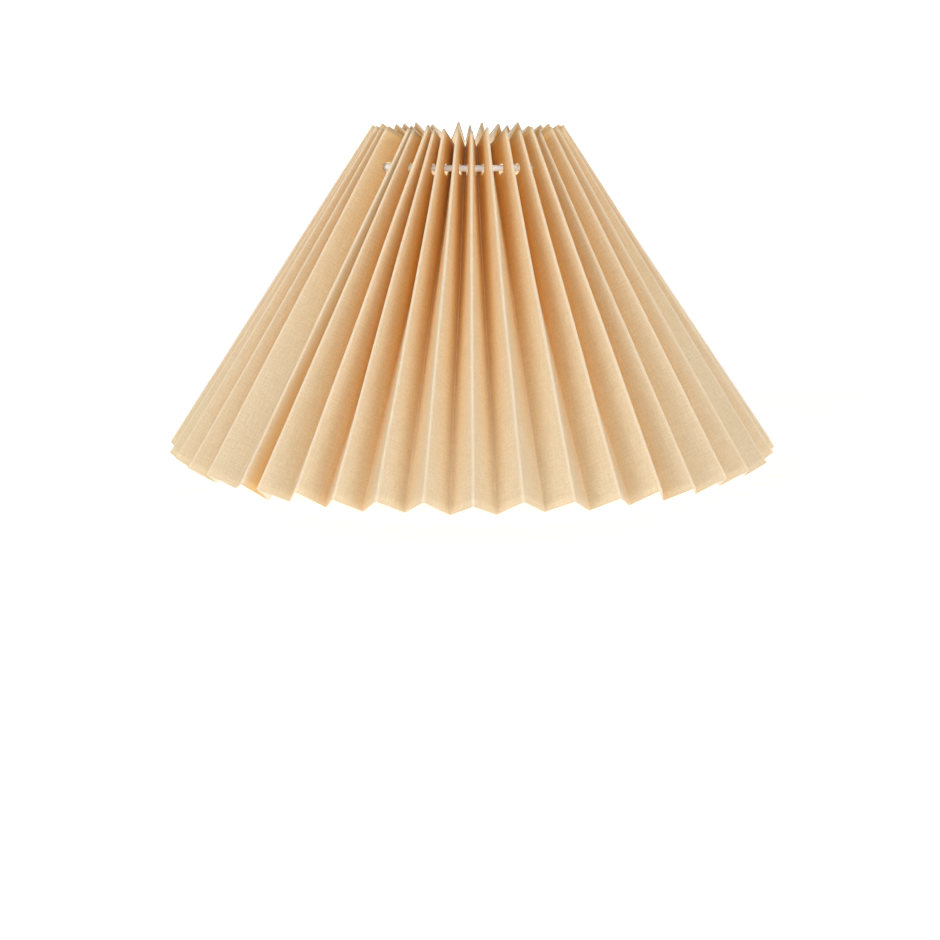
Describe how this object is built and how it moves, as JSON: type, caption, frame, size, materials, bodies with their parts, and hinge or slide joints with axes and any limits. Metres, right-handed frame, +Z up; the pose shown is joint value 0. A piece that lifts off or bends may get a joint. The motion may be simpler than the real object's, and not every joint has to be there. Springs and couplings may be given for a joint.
{
  "type": "pleated lamp shade",
  "caption": "Wide conical lamp shade of accordion-pleated cloth, hung on a wire hoop and a three-arm carrier with a fitter ring.",
  "frame": {"origin": "centre of the fitter ring's bore on the ring's underside, where the shade seats on a lampholder", "axes": "+Z up along the shade's axis, front of the shade towards -Y, +X to the right seen from the front"},
  "size_m": [0.3, 0.3002, 0.165],
  "materials": {
    "cloth": "matt fine plain weave",
    "film": "smooth matt white film",
    "tape": "milky adhesive film",
    "hoop_coat": "white powder coat, satin",
    "sleeve_metal": "zinc-plated, crimped",
    "carrier_coat": "white powder coat, satin"
  },
  "bodies": {
    "root": {"fabric_cover": "cloth", "liner": "film", "seam_tape": "tape", "hoop": "hoop_coat", "hoop_sleeve": "sleeve_metal", "arm_left": "carrier_coat", "arm_right": "carrier_coat", "arm_back": "carrier_coat", "fitter_ring": "carrier_coat"}
  },
  "joints": []
}
